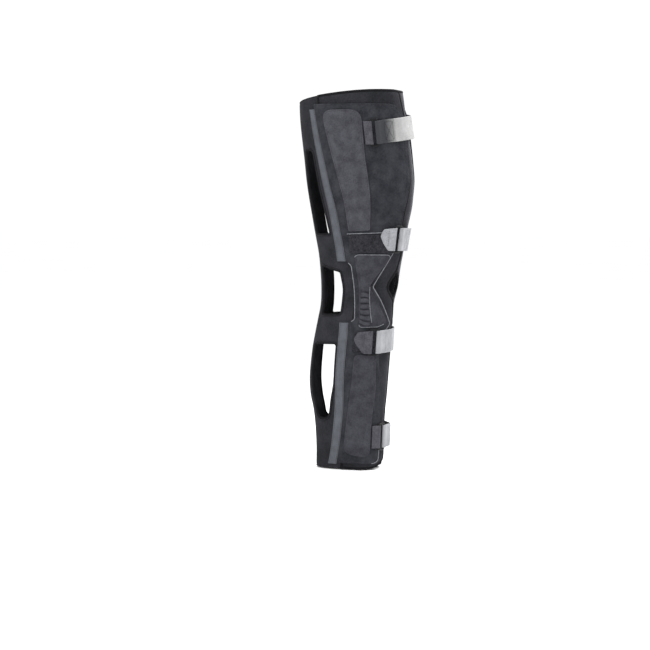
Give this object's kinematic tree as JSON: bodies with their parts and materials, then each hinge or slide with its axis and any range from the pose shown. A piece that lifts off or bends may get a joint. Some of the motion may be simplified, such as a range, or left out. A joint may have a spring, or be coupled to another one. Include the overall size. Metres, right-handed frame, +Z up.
{
  "type": "knee immobilizer",
  "caption": "Full-leg knee immobilizer: open tapered wrap with windows behind, a stiffened panel on each side, a kneecap opening and straps through slot rings.",
  "frame": {"origin": "centre of the knee inside the open hollow, level with the middle of the kneecap opening", "axes": "+Z up the leg, -Y to the front of the knee, -X to the outer side of a right leg"},
  "size_m": [0.1808, 0.1995, 0.6465],
  "materials": {
    "foam": "foam laminate faced with knitted loop cloth",
    "velour": "brushed velour",
    "pad": "brushed velour",
    "tape": "flat woven tape",
    "band": "napped loop tape",
    "webbing": "flat woven webbing",
    "grey_tab": "felted hook tab",
    "dark_tab": "felted hook tab",
    "plastic": "moulded nylon"
  },
  "bodies": {
    "root": {"back_panel": "foam", "lateral_flap": "foam", "medial_flap": "foam", "lateral_side_panel": "velour", "medial_side_panel": "velour", "lateral_thigh_tape": "tape", "lateral_calf_tape": "tape", "medial_thigh_tape": "tape", "medial_calf_tape": "tape", "lateral_thigh_pad": "pad", "lateral_knee_pad": "pad", "lateral_calf_pad": "pad", "medial_thigh_pad": "pad", "medial_knee_pad": "pad", "medial_calf_pad": "pad", "lateral_gathers": "pad", "medial_gathers": "pad", "upper_loop_band": "band", "lower_loop_band": "band", "thigh_strap": "webbing", "upper_knee_strap": "webbing", "lower_knee_strap": "webbing", "ankle_strap": "webbing", "thigh_anchor": "dark_tab", "upper_knee_tab": "grey_tab", "lower_knee_tab": "dark_tab", "ankle_anchor": "dark_tab", "thigh_ring": "plastic", "upper_knee_ring": "plastic", "lower_knee_ring": "plastic", "ankle_ring": "plastic"}
  },
  "joints": []
}
